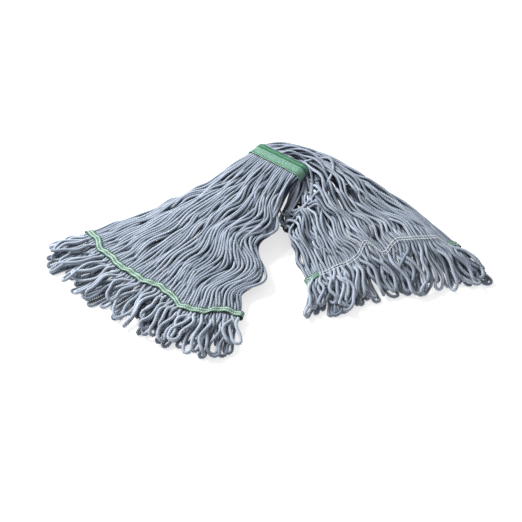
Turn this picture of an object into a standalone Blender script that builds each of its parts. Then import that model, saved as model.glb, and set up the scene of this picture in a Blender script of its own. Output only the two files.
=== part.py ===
"""Looped-end string mop head, lying on the floor with its two fans of yarn spread.

Metres, +Z up, the origin on the floor under the middle of the whole object.
Every strand passes through the headband. On each side the strands spread into a fan, run to
a tail tape that is sewn across them, and end past it in loops. A fan is made as locks, each
holding the strands of an eighth of its width. Two numbers place a point in a fan: u runs
across it, from 0 at the headband's far end to 1 at its near end, and s runs along the
strands, from 0 at the headband to 1 at the loop tips.
"""

import math

import bmesh
import bpy
import numpy as np

# ---------------------------------------------------------------- driving dimensions
YARN_DIAMETER = 0.0055
STRAND_LENGTH = 0.500  # pulled straight, from the headband's edge to the loop tip
FRINGE_LENGTH = 0.085  # from the middle of the tail tape to the loop tips
LOCKS = 8  # locks in each fan

HEADBAND_LENGTH = 0.120  # along the band, outside
HEADBAND_WIDTH = 0.028  # across the band, the way the strands run
HEADBAND_WALL = 0.0014
HEADBAND_HEIGHT = 0.071  # from the floor to the middle of the waist
HEADBAND_HEADING = -43.0  # degrees in plan, from the far end to the near end
HEADBAND_ROLL = 8.0  # degrees, the right side raised
WAIST_THICKNESS = 0.0200  # the yarn pressed together inside the band
BAND_CLEARANCE = 0.0008  # between the waist and the band
LEFT_HEM = 0.0042  # the doubled tape along the band's left edge
RIGHT_HEM = 0.0108  # and along its right edge
HEM_RISE = 0.0006  # how much thicker the doubled tape is
HEM_STEP = 0.0006  # across the band, over which it gets thinner

FAN_THICKNESS_TIP = 2 * YARN_DIAMETER  # a loop's two legs lie on each other
LEFT_THICKNESSES = (WAIST_THICKNESS, 0.020, 0.019, 0.015, FAN_THICKNESS_TIP)  # at KNOTS
RIGHT_THICKNESSES = (WAIST_THICKNESS, 0.026, 0.030, 0.018, FAN_THICKNESS_TIP)
LOCK_GAP = 0.0016  # between neighbouring locks

TAPE_WIDTH = 0.0125
TAPE_THICKNESS = 0.0011
TAPE_CLEARANCE = 0.0006  # between the yarn and the tape

THREAD = 0.0010  # sewing thread, laid square
THREAD_CLEARANCE = 0.0004  # between the thread and the tape under it
TAPE_ROW_SPACING = 0.0052  # between the two rows sewn along a tail tape
BAND_ROWS = (-0.0118, 0.0052, 0.0118)  # rows sewn along the headband, across its width

SWING_GAP = 0.0080  # from a fan's swing axis to the yarn on either side of it
LEFT_AXIS_OFFSET = 0.020  # from the headband's left edge to the left fan's swing axis
RIGHT_AXIS_OFFSET = 0.016  # from the headband's near end to the right fan's swing axis
RIGHT_FAN_HEADING = -50.0  # degrees in plan, the way the right fan runs as a whole
FLEX_GAP = 0.0060  # between the strands at a tail tape and the loops past it

SHOULDER = 0.25  # of a lock's width, rounded off at each of its sides
SIDE_SHARE = 0.7  # of a lock's thickness, left at its sides
LEAST_FULLNESS = 0.25  # of the fan's thickness, left at its two edges
HINGE_SQUEEZE = 0.6  # of a lock's thickness, left beside a swing axis
LOOP_SQUEEZE = 0.8  # of a lock's thickness, left at the ends of the loops

# Guide lines, five to a fan at even u. Each is the share of STRAND_LENGTH that it reaches
# over the floor, its headings in degrees at KNOTS, and its heights there, where 1 is the
# waist's height and 0 is lying on the floor.
KNOTS = (0.0, 0.07, 0.2, 0.6, 1.0)
LEFT_GUIDES = (
    (0.80, (-150, -150, -150, -151, -162), (1.00, 0.82, 0.52, 0.14, 0.00)),
    (0.83, (-136, -138, -138, -135, -146), (1.00, 0.87, 0.63, 0.21, 0.00)),
    (0.83, (-126, -125, -124, -123, -130), (1.00, 0.90, 0.68, 0.25, 0.00)),
    (0.86, (-119, -120, -121, -113, -113), (1.00, 0.90, 0.68, 0.27, 0.00)),
    (0.82, (-135, -129, -117, -96, -104), (1.00, 0.86, 0.60, 0.20, 0.00)),
)
RIGHT_GUIDES = (
    (0.98, (2, -10, -28, -43, -54), (1.00, 0.98, 0.92, 0.62, 0.00)),
    (0.88, (14, -12, -38, -48, -70), (1.00, 1.00, 0.95, 0.64, 0.00)),
    (0.72, (18, -22, -63, -57, -72), (1.00, 1.00, 0.90, 0.55, 0.00)),
    (0.68, (5, -38, -92, -62, -86), (1.00, 0.95, 0.72, 0.35, 0.00)),
    (0.68, (-32, -86, -125, -63, -90), (1.00, 0.85, 0.45, 0.12, 0.00)),
)

# ---------------------------------------------------------------- worked out from them
ALONG = np.array(
    [
        math.cos(math.radians(HEADBAND_HEADING)),
        math.sin(math.radians(HEADBAND_HEADING)),
        0.0,
    ]
)
UP = np.array([0.0, 0.0, 1.0])
LEVEL_ACROSS = np.cross(UP, ALONG)
ROLL = math.radians(HEADBAND_ROLL)
ACROSS = LEVEL_ACROSS * math.cos(ROLL) + UP * math.sin(ROLL)
BAND_UP = np.cross(ALONG, ACROSS)
WAIST = UP * HEADBAND_HEIGHT
WAIST_WIDTH = HEADBAND_LENGTH - 2 * (HEADBAND_WALL + BAND_CLEARANCE)
EDGE_SHARE = WAIST_THICKNESS / 2 / WAIST_WIDTH
STEPS = np.linspace(0.0, 1.0, 81)
ALL_U = np.linspace(0.0, 1.0, 5)


def through(xs, ys, x):
    """A smooth curve through the points, read at x."""
    xs = np.asarray(xs, float)
    ys = np.asarray(ys, float)
    slopes = np.gradient(ys, xs, axis=0)
    i = min(max(int(np.searchsorted(xs, x)) - 1, 0), len(xs) - 2)
    width = xs[i + 1] - xs[i]
    t = (x - xs[i]) / width
    return (
        ys[i] * (2 * t**3 - 3 * t**2 + 1)
        + slopes[i] * width * (t**3 - 2 * t**2 + t)
        + ys[i + 1] * (3 * t**2 - 2 * t**3)
        + slopes[i + 1] * width * (t**3 - t**2)
    )


class Fan:
    """The surface in the middle of one fan's thickness, and the thickness round it."""

    def __init__(self, side, guides, thicknesses):
        self.side = side
        self.thicknesses = thicknesses
        self.reaches = [share * STRAND_LENGTH for share, _, _ in guides]
        rest = HEADBAND_HEIGHT - WAIST_THICKNESS / 2
        lines = []
        for u, (share, headings, heights) in zip(ALL_U, guides):
            turns = np.radians([through(KNOTS, headings, s) for s in STEPS])
            step = share * STRAND_LENGTH * STEPS[1]
            flat = np.stack([np.cos(turns), np.sin(turns)], axis=1) * step
            walked = np.vstack([[0.0, 0.0], np.cumsum((flat[1:] + flat[:-1]) / 2, axis=0)])
            start = self.band_edge(u)
            drop = start[2] - HEADBAND_HEIGHT
            z = [
                self.half(s) + (rest + drop) * through(KNOTS, heights, s)
                for s in STEPS
            ]
            lines.append(np.column_stack([walked + start[:2], z]))
        self.lines = np.array(lines)

    def band_edge(self, u):
        along = ALONG * (u - 0.5) * WAIST_WIDTH
        return WAIST + along + ACROSS * self.side * HEADBAND_WIDTH / 2

    def half(self, s):
        return through(KNOTS, self.thicknesses, s) / 2

    def middle(self, u, s):
        at = [[np.interp(s, STEPS, line[:, k]) for k in range(3)] for line in self.lines]
        return through(ALL_U, at, u)

    def normal(self, s):
        blend = min(s / 0.1, 1.0)
        direction = BAND_UP * (1 - blend) + UP * blend
        return direction / np.linalg.norm(direction)

    def reach(self, u):
        return through(ALL_U, self.reaches, u)

    def at_plane(self, u, point, facing, distance):
        """The s where the guide at u first gets this far past a plane."""
        apart = np.array([(self.middle(u, s) - point) @ facing for s in STEPS]) - distance
        past = int(np.argmax(apart > 0))
        if past == 0:
            return 0.0
        share = -apart[past - 1] / (apart[past] - apart[past - 1])
        return STEPS[past - 1] + share * (STEPS[past] - STEPS[past - 1])

    def at_tape(self, u, offset):
        """The s this far past the middle of the tail tape."""
        return 1 - (FRINGE_LENGTH - offset) / self.reach(u)


def fullness(u):
    """How much of the fan's thickness is left at u: its two edges are rounded."""
    inward = min(u, 1 - u)
    if inward >= EDGE_SHARE:
        return 1.0
    return max(math.sqrt(1 - (1 - inward / EDGE_SHARE) ** 2), LEAST_FULLNESS)


def lock_us(number, width):
    """The four u of a lock's sides and shoulders, where the fan is this wide."""
    gap = LOCK_GAP / 2 / width
    low = (number - 1) / LOCKS + (gap if number > 1 else 0.0)
    high = number / LOCKS - (gap if number < LOCKS else 0.0)
    shoulder = (high - low) * SHOULDER
    return low, low + shoulder, high - shoulder, high


def section(points_of, us, squeeze=1.0):
    """A lock's rounded outline, from a function that gives (middle, normal, half) at u."""
    rounding = (SIDE_SHARE, 1.0, 1.0, SIDE_SHARE)
    top = []
    bottom = []
    for u, share in zip(us, rounding):
        middle, normal, half = points_of(u)
        rise = normal * half * fullness(u) * share * squeeze
        top.append(middle + rise)
        bottom.append(middle - rise)
    return top + bottom[::-1]


# ---------------------------------------------------------------- meshes
def closed(name, rings, loop=False):
    """A closed body from rings of points, capped at both ends unless it joins itself."""
    mesh = bpy.data.meshes.new(name)
    bm = bmesh.new()
    rows = [[bm.verts.new(point) for point in ring] for ring in rings]
    pairs = list(zip(rows, rows[1:]))
    if loop:
        pairs.append((rows[-1], rows[0]))
    else:
        bm.faces.new(rows[0])
        bm.faces.new(rows[-1])
    for first, second in pairs:
        for i, vert in enumerate(first):
            j = (i + 1) % len(first)
            bm.faces.new((vert, first[j], second[j], second[i]))
    bmesh.ops.recalc_face_normals(bm, faces=bm.faces)
    bm.to_mesh(mesh)
    bm.free()
    return mesh


def stadium(length, thickness, corners=8):
    """The outline of a flattened band, in (along, up)."""
    radius = thickness / 2
    outline = []
    for end in (1, -1):
        for k in range(corners + 1):
            turn = math.pi * (k / corners - 0.5)
            along = end * (length / 2 - radius + radius * math.cos(turn))
            outline.append((along, end * radius * math.sin(turn)))
    return outline


def material(name, colour, roughness):
    made = bpy.data.materials.new(name)
    made.use_nodes = True
    shader = made.node_tree.nodes["Principled BSDF"]
    shader.inputs["Base Color"].default_value = (*colour, 1.0)
    shader.inputs["Roughness"].default_value = roughness
    return made


# ---------------------------------------------------------------- the pieces
LEFT = Fan(-1, LEFT_GUIDES, LEFT_THICKNESSES)
RIGHT = Fan(1, RIGHT_GUIDES, RIGHT_THICKNESSES)


def fan_facing(heading):
    turn = math.radians(heading)
    return np.array([math.cos(turn), math.sin(turn), 0.0])


def swing_planes():
    """Where each fan swings: a point on its axis, and the level way that the fan runs."""
    left_facing = -LEVEL_ACROSS
    left = LEFT.band_edge(0.5) + left_facing * LEFT_AXIS_OFFSET
    s = LEFT.at_plane(0.5, left, left_facing, 0.0)
    left[2] = LEFT.middle(0.5, s)[2]
    right_facing = fan_facing(RIGHT_FAN_HEADING)
    right = RIGHT.band_edge(1.0) + right_facing * RIGHT_AXIS_OFFSET
    s = RIGHT.at_plane(0.5, right, right_facing, 0.0)
    right[2] = RIGHT.middle(0.5, s)[2]
    return (left, left_facing), (right, right_facing)


LEFT_SWING, RIGHT_SWING = swing_planes()


def flex_axis(fan):
    """The middle of the gap past the tail tape, and the straight line nearest to it."""
    offset = (TAPE_WIDTH + FLEX_GAP) / 2
    ends = [fan.middle(u, fan.at_tape(u, offset)) for u in (0.0, 1.0)]
    inner = [fan.middle(u, fan.at_tape(u, offset)) for u in (0.25, 0.5, 0.75)]
    direction = (ends[0] - ends[1]) * fan.side
    direction[2] = 0.0
    return np.mean(ends + inner, axis=0), direction / np.linalg.norm(direction)


def sleeve_rings():
    """The headband, a flattened tube with a hem along each edge, ring by ring round its wall."""
    inner = WAIST_THICKNESS + 2 * BAND_CLEARANCE
    middle = inner + 2 * HEADBAND_WALL
    hollow = stadium(HEADBAND_LENGTH - 2 * HEADBAND_WALL, inner)
    single = stadium(HEADBAND_LENGTH, middle)
    doubled = stadium(HEADBAND_LENGTH + 2 * HEM_RISE, middle + 2 * HEM_RISE)
    edge = HEADBAND_WIDTH / 2
    left = LEFT_HEM - edge
    right = edge - RIGHT_HEM
    wall = [
        (doubled, -edge),
        (doubled, left),
        (single, left + HEM_STEP),
        (single, right - HEM_STEP),
        (doubled, right),
        (doubled, edge),
        (hollow, edge),
        (hollow, -edge),
    ]
    return [
        [WAIST + ALONG * a + BAND_UP * b + ACROSS * across for a, b in outline]
        for outline, across in wall
    ]


def band_row(across, face):
    """A row of thread along one face of the headband."""
    reach = HEADBAND_LENGTH / 2 - WAIST_THICKNESS / 2
    tape = HEADBAND_WALL + HEM_RISE
    lift = WAIST_THICKNESS / 2 + BAND_CLEARANCE + tape + THREAD_CLEARANCE
    rings = []
    for along in (-reach, reach):
        base = WAIST + ALONG * along + ACROSS * across + BAND_UP * face * lift
        side = ACROSS * THREAD / 2
        rise = BAND_UP * face * THREAD
        rings.append([base - side, base + side, base + side + rise, base - side + rise])
    return rings


def waist_rings(number):
    """One lock of the waist: its left stub, the stretch in the band and its right stub."""
    rings = []
    left, left_facing = LEFT_SWING
    right, right_facing = RIGHT_SWING
    us = lock_us(number, WAIST_WIDTH)

    def stub(fan, point, facing, share):
        def points_of(u):
            s = fan.at_plane(u, point, facing, -SWING_GAP) * share
            return fan.middle(u, s), fan.normal(s), fan.half(s)

        return points_of

    for share, squeeze in ((1.0, HINGE_SQUEEZE), (0.5, 1.0), (0.0, 1.0)):
        rings.append(section(stub(LEFT, left, left_facing, share), us, squeeze))
    for share, squeeze in ((0.0, 1.0), (0.2, 1.0), (0.45, 1.0), (0.75, 1.0), (1.0, HINGE_SQUEEZE)):
        rings.append(section(stub(RIGHT, right, right_facing, share), us, squeeze))
    return rings


def yarn_rings(fan, swing, number):
    """One lock of a fan, from the swing axis to just past the tail tape."""
    point, facing = swing
    us = lock_us(number, WAIST_WIDTH)
    before = -TAPE_WIDTH / 2
    past = TAPE_WIDTH / 2

    def at(share, offset=None):
        def points_of(u):
            start = fan.at_plane(u, point, facing, SWING_GAP)
            end = fan.at_tape(u, before)
            s = start + (end - start) * share if offset is None else fan.at_tape(u, offset)
            return fan.middle(u, s), fan.normal(s), fan.half(s)

        return points_of

    rings = [section(at(0.0), us, HINGE_SQUEEZE)]
    rings += [section(at(share), us) for share in (0.05, 0.2, 0.4, 0.6, 0.8, 1.0)]
    rings.append(section(at(0.0, past), us))
    return rings


def loop_rings(fan, number):
    """One lock of the loops past a tail tape."""
    us = lock_us(number, WAIST_WIDTH)
    start = TAPE_WIDTH / 2 + FLEX_GAP

    def at(share):
        def points_of(u):
            first = fan.at_tape(u, start)
            s = first + (1 - first) * share
            return fan.middle(u, s), fan.normal(s), fan.half(s)

        return points_of

    squeezes = ((0.0, LOOP_SQUEEZE), (0.3, 1.0), (0.7, 1.0), (1.0, LOOP_SQUEEZE))
    return [section(at(share), us, squeeze) for share, squeeze in squeezes]


def wrap_path(fan, face, folded):
    """(u, way out of the yarn) along a tape's path: over one face, and round the edges."""
    flat = []
    for number in range(1, LOCKS + 1):
        flat += list(lock_us(number, WAIST_WIDTH))
    path = [(u, face, 0) for u in flat]
    if folded:
        back = [(u, -face, 0) for u in flat]
        path = back[2::-1] + [(0.0, 0, -1)] + path + [(1.0, 0, 1)] + back[:-4:-1]
    return path


def ribbon_rings(fan, face, offset, width, lift, thickness, folded):
    """A ribbon across a fan, this far past the tape's middle and this far off the yarn."""
    rings = []
    for u, up, sideways in wrap_path(fan, face, folded):
        ring = []
        for along, rise in (
            (-1, lift),
            (1, lift),
            (1, lift + thickness),
            (-1, lift + thickness),
        ):
            s = fan.at_tape(u, offset + along * width / 2)
            out = fan.middle(1.0, s) - fan.middle(0.0, s)
            out[2] = 0.0
            out /= np.linalg.norm(out)
            half = fan.half(s) * fullness(u)
            point = fan.middle(u, s) + UP * up * (half + rise) + out * sideways * rise
            if u in (0.0, 1.0) and up:
                point = point + out * (1 if u else -1) * rise
            ring.append(point)
        rings.append(ring)
    return rings


def build():
    """{name: (rings, joins itself, body, material)} of every piece."""
    pieces = {"headband_sleeve": (sleeve_rings(), True, "headband", "green_mesh_tape")}
    for k, across in enumerate(BAND_ROWS, start=1):
        for face, word in ((1, "over"), (-1, "under")):
            name = f"headband_stitch_{word}_{k}"
            pieces[name] = (band_row(across, face), False, "headband", "green_thread")
    for number in range(1, LOCKS + 1):
        pieces[f"yarn_waist_lock_{number}"] = (waist_rings(number), False, "headband", "yarn")
    for word, fan, swing, face in (
        ("left", LEFT, LEFT_SWING, 1),
        ("right", RIGHT, RIGHT_SWING, -1),
    ):
        for number in range(1, LOCKS + 1):
            rings = yarn_rings(fan, swing, number)
            pieces[f"{word}_yarn_lock_{number}"] = (rings, False, f"{word}_fan", "yarn")
            rings = loop_rings(fan, number)
            pieces[f"{word}_loop_lock_{number}"] = (rings, False, f"{word}_fringe", "yarn")
        tape = ribbon_rings(fan, face, 0.0, TAPE_WIDTH, TAPE_CLEARANCE, TAPE_THICKNESS, True)
        pieces[f"{word}_tail_tape"] = (tape, False, f"{word}_fan", "tail_tape")
        over_tape = TAPE_CLEARANCE + TAPE_THICKNESS + THREAD_CLEARANCE
        for k, offset in enumerate((-TAPE_ROW_SPACING / 2, TAPE_ROW_SPACING / 2), start=1):
            row = ribbon_rings(fan, face, offset, THREAD, over_tape, THREAD, False)
            name = f"{word}_tape_stitch_{k}"
            pieces[name] = (row, False, f"{word}_fan", "white_thread")
    return pieces


def main():
    for obj in list(bpy.data.objects):
        bpy.data.objects.remove(obj)
    pieces = build()
    corners = np.vstack([np.vstack(rings) for rings, _, _, _ in pieces.values()])
    low = corners.min(axis=0)
    high = corners.max(axis=0)
    shift = np.array([-(low[0] + high[0]) / 2, -(low[1] + high[1]) / 2, -low[2]])
    pivots = {
        "headband": WAIST,
        "left_fan": LEFT_SWING[0],
        "right_fan": RIGHT_SWING[0],
        "left_fringe": flex_axis(LEFT)[0],
        "right_fringe": flex_axis(RIGHT)[0],
    }
    carriers = {}
    for body, pivot in pivots.items():
        carrier = bpy.data.objects.new(f"{body}_pivot", None)
        carrier.location = pivot + shift
        bpy.context.collection.objects.link(carrier)
        carriers[body] = carrier
    finishes = {
        "yarn": material("mop yarn", (0.32, 0.38, 0.50), 0.9),
        "green_mesh_tape": material("green mesh tape", (0.20, 0.55, 0.33), 0.6),
        "green_thread": material("green thread", (0.09, 0.36, 0.20), 0.6),
        "tail_tape": material("tail tape", (0.30, 0.52, 0.33), 0.7),
        "white_thread": material("white thread", (0.80, 0.82, 0.84), 0.6),
    }
    for name, (rings, loop, body, finish) in pieces.items():
        local = [[point - pivots[body] for point in ring] for ring in rings]
        obj = bpy.data.objects.new(name, closed(name, local, loop))
        obj.parent = carriers[body]
        obj.data.materials.append(finishes[finish])
        bpy.context.collection.objects.link(obj)
    for word, point, axis in (
        ("left_fan_swing", LEFT_SWING[0], np.cross(UP, LEFT_SWING[1])),
        ("right_fan_swing", RIGHT_SWING[0], np.cross(UP, RIGHT_SWING[1])),
        ("left_fringe_flex", *flex_axis(LEFT)),
        ("right_fringe_flex", *flex_axis(RIGHT)),
    ):
        print(word, "at", np.round(point + shift, 5), "axis", np.round(axis, 5))


main()
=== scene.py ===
# %% [markdown]
# # A looped-end string mop head
# This lesson builds the looks of a wet mop head that lies on the floor with its two fans of
# yarn spread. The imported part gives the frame: the headband, the locks of yarn, the tail
# tapes and the four joints between them. Here each lock becomes real strands of plied yarn,
# each tape becomes woven cloth, and each row of thread becomes stitches.

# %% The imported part
import math

import bpy
import numpy as np
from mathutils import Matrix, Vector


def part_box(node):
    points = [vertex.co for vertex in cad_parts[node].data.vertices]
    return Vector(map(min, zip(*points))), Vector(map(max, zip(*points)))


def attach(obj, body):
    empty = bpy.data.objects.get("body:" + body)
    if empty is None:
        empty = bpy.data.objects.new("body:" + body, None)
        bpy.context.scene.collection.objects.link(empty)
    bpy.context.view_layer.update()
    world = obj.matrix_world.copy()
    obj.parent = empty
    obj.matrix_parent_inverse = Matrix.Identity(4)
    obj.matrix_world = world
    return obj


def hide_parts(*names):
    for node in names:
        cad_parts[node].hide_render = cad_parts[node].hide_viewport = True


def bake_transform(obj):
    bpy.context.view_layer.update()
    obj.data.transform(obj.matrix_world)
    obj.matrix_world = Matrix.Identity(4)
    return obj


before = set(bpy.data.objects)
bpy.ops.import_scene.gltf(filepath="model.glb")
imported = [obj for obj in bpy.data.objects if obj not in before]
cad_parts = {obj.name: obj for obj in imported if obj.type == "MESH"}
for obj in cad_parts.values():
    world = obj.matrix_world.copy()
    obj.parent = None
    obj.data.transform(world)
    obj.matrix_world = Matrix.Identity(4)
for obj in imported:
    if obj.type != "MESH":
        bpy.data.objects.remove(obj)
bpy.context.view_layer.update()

# %% [markdown]
# ## The camera, the floor and the light
# The mop is seen from the front and a little over a third of the way up to overhead. The
# floor and the surroundings are nearly white, and one broad soft light from the upper left
# gives pale shadows with soft edges, as a light tent does. The floor glows a little too,
# because it is a sheet lit from below as well.

# %% The camera
CAMERA_TURN = math.radians(37.0)
CAMERA_DISTANCE = 2.0
camera = bpy.data.objects.new("camera", bpy.data.cameras.new("camera"))
camera.data.lens = 82.76
camera.data.sensor_width = 36.0
camera.location = (
    0.0,
    -CAMERA_DISTANCE * math.cos(CAMERA_TURN),
    CAMERA_DISTANCE * math.sin(CAMERA_TURN),
)
camera.rotation_euler = (math.pi / 2 - CAMERA_TURN, 0.0, 0.0)
bpy.context.collection.objects.link(camera)
bpy.context.scene.camera = camera
print("the camera is", round(camera.location.length, 3), "m away")

# %% [markdown]
# Materials and Geometry Nodes trees are both built with one helper, which adds a node, sets
# it and links it. Colours are written as the hex values that a paint program shows, and one
# function turns them to the linear values that Blender mixes.


# %% Helpers for node trees and colours
def add(tree, kind, inputs=None, **settings):
    """A new node. inputs maps a socket's name or number to a value or to another socket."""
    node = tree.nodes.new(kind)
    for name, value in settings.items():
        setattr(node, name, value)
    for socket, value in (inputs or {}).items():
        if isinstance(value, bpy.types.NodeSocket):
            tree.links.new(value, node.inputs[socket])
        else:
            node.inputs[socket].default_value = value
    return node


def linear(hex_colour):
    """The linear RGBA of an sRGB colour such as #8090A0."""
    values = [int(hex_colour[i : i + 2], 16) / 255 for i in (1, 3, 5)]
    return (*[v / 12.92 if v <= 0.04045 else ((v + 0.055) / 1.055) ** 2.4 for v in values], 1.0)


def new_material(name):
    made = bpy.data.materials.new(name)
    made.use_nodes = True
    made.node_tree.nodes.clear()
    return made, made.node_tree


def two_stops(ramp, low, dark, high, light):
    """Sets a ramp to run from a dark colour at low to a light one at high."""
    for element, place, colour in zip(ramp.color_ramp.elements, (low, high), (dark, light)):
        element.position = place
        element.color = linear(colour)


def new_tree(name, sockets):
    """A Geometry Nodes tree with a geometry in and out, and an input for each name and kind."""
    tree = bpy.data.node_groups.new(name, "GeometryNodeTree")
    face = tree.interface
    face.new_socket("Geometry", in_out="INPUT", socket_type="NodeSocketGeometry")
    for label, kind in sockets:
        face.new_socket(label, in_out="INPUT", socket_type=f"NodeSocket{kind}")
    face.new_socket("Geometry", in_out="OUTPUT", socket_type="NodeSocketGeometry")
    return tree, add(tree, "NodeGroupInput").outputs


print("white is", linear("#FFFFFF")[:3])

# %% The floor and the light
FLOOR_HALF = 30.0
FLOOR_LEVEL = -0.0004
SURROUND_GLOW = 0.66  # how strongly the floor and the surroundings glow
CORNERS = ((-1, -1), (1, -1), (1, 1), (-1, 1))
floor_mesh = bpy.data.meshes.new("floor")
floor_mesh.from_pydata(
    [(x * FLOOR_HALF, y * FLOOR_HALF, FLOOR_LEVEL) for x, y in CORNERS],
    [],
    [(0, 1, 2, 3)],
)
floor = bpy.data.objects.new("floor", floor_mesh)
bpy.context.collection.objects.link(floor)
floor_paint, tree = new_material("matt white floor")
shader = add(
    tree,
    "ShaderNodeBsdfPrincipled",
    {
        "Base Color": linear("#B4B4B4"),
        "Roughness": 0.9,
        "Specular IOR Level": 0.1,
        "Emission Color": linear("#FFFFFF"),
        "Emission Strength": SURROUND_GLOW,
    },
)
add(tree, "ShaderNodeOutputMaterial", {"Surface": shader.outputs[0]})
floor_mesh.materials.append(floor_paint)

world = bpy.data.worlds.new("studio")
world.use_nodes = True
background = world.node_tree.nodes["Background"]
background.inputs["Color"].default_value = linear("#FFFFFF")
background.inputs["Strength"].default_value = SURROUND_GLOW
bpy.context.scene.world = world
bpy.context.scene.view_settings.view_transform = "Standard"


def soft_light(name, location, size, watts):
    """A square soft box that faces the middle of the floor."""
    lamp = bpy.data.lights.new(name, "AREA")
    lamp.size = size
    lamp.energy = watts
    holder = bpy.data.objects.new(name, lamp)
    holder.location = location
    holder.rotation_euler = (-holder.location).to_track_quat("-Z", "Y").to_euler()
    bpy.context.collection.objects.link(holder)
    return holder


soft_light("key_light", (-1.5, 0.9, 1.7), 1.0, 104.0)
print("floor and light are in")

# %% [markdown]
# ## The two fans as surfaces
# All the yarn hangs on two smooth surfaces, one for each fan. A place on a fan has two
# numbers: u runs across it, from 0 at the headband's far end to 1 at its near end, and s
# runs along the strands, from 0 at the headband to 1 at the loop tips. Five guide lines per
# fan give the surface, with the same sizes as the part has, and the headband's own box says
# where they start.

# %% Sizes of the mop
YARN_DIAMETER = 0.0055
STRAND_LENGTH = 0.500
FRINGE_LENGTH = 0.085
LOCKS = 8
LEGS_PER_LOCK = 18  # a leg is one side of a loop, from the headband to the loop's tip
LEGS = LOCKS * LEGS_PER_LOCK

HEADBAND_LENGTH = 0.120
HEADBAND_WIDTH = 0.028
HEADBAND_WALL = 0.0014
HEADBAND_HEIGHT = 0.071
HEADBAND_HEADING = -43.0
HEADBAND_ROLL = 8.0
WAIST_THICKNESS = 0.0200
BAND_CLEARANCE = 0.0008
HEM_RISE = 0.0006
BAND_ROWS = (-0.0118, 0.0052, 0.0118)
TAPE_WIDTH = 0.0125
TAPE_THICKNESS = 0.0011
TAPE_CLEARANCE = 0.0006
TAPE_ROW_SPACING = 0.0052
FLEX_GAP = 0.0060
TIP_THICKNESS = 2 * YARN_DIAMETER

KNOTS = (0.0, 0.07, 0.2, 0.6, 1.0)
LEFT_THICKNESSES = (WAIST_THICKNESS, 0.020, 0.019, 0.015, TIP_THICKNESS)
RIGHT_THICKNESSES = (WAIST_THICKNESS, 0.026, 0.030, 0.018, TIP_THICKNESS)
LEFT_GUIDES = (
    (0.80, (-150, -150, -150, -151, -162), (1.00, 0.82, 0.52, 0.14, 0.00)),
    (0.83, (-136, -138, -138, -135, -146), (1.00, 0.87, 0.63, 0.21, 0.00)),
    (0.83, (-126, -125, -124, -123, -130), (1.00, 0.90, 0.68, 0.25, 0.00)),
    (0.86, (-119, -120, -121, -113, -113), (1.00, 0.90, 0.68, 0.27, 0.00)),
    (0.82, (-135, -129, -117, -96, -104), (1.00, 0.86, 0.60, 0.20, 0.00)),
)
RIGHT_GUIDES = (
    (0.98, (2, -10, -28, -43, -54), (1.00, 0.98, 0.92, 0.62, 0.00)),
    (0.88, (14, -12, -38, -48, -70), (1.00, 1.00, 0.95, 0.64, 0.00)),
    (0.72, (18, -22, -63, -57, -72), (1.00, 1.00, 0.90, 0.55, 0.00)),
    (0.68, (5, -38, -92, -62, -86), (1.00, 0.95, 0.72, 0.35, 0.00)),
    (0.68, (-32, -86, -125, -63, -90), (1.00, 0.85, 0.45, 0.12, 0.00)),
)
print(LEGS // 2, "loops of yarn in each fan")

# %% The headband's directions
along_turn = math.radians(HEADBAND_HEADING)
ALONG = np.array([math.cos(along_turn), math.sin(along_turn), 0.0])
UP = np.array([0.0, 0.0, 1.0])
EAST = np.array([1.0, 0.0, 0.0])
LEVEL_ACROSS = np.cross(UP, ALONG)
roll = math.radians(HEADBAND_ROLL)
ACROSS = LEVEL_ACROSS * math.cos(roll) + UP * math.sin(roll)
BAND_UP = np.cross(ALONG, ACROSS)
WAIST_WIDTH = HEADBAND_LENGTH - 2 * (HEADBAND_WALL + BAND_CLEARANCE)
band_low, band_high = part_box("headband_sleeve")
WAIST = np.array((band_low + band_high) / 2)
FLOOR_SHIFT = WAIST[2] - HEADBAND_HEIGHT
print("the headband's middle is at", WAIST.round(4))

# %% A smooth curve through a few values
STEPS = np.linspace(0.0, 1.0, 81)
ALL_U = np.linspace(0.0, 1.0, 5)


def through(xs, ys, x):
    """A smooth curve through the values ys at xs, read at every x."""
    xs, ys, x = np.asarray(xs, float), np.asarray(ys, float), np.asarray(x, float)
    slopes = np.gradient(ys, xs)
    i = np.clip(np.searchsorted(xs, x) - 1, 0, len(xs) - 2)
    width = xs[i + 1] - xs[i]
    t = (x - xs[i]) / width
    return (
        ys[i] * (2 * t**3 - 3 * t**2 + 1)
        + slopes[i] * width * (t**3 - 2 * t**2 + t)
        + ys[i + 1] * (3 * t**2 - 2 * t**3)
        + slopes[i + 1] * width * (t**3 - t**2)
    )


def ease(x, low, high):
    """0 below low, 1 above high, and a smooth step between."""
    t = np.clip((np.asarray(x, float) - low) / (high - low), 0.0, 1.0)
    return t * t * (3 - 2 * t)


print("half way along", through(KNOTS, LEFT_THICKNESSES, 0.5).round(4))


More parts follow.
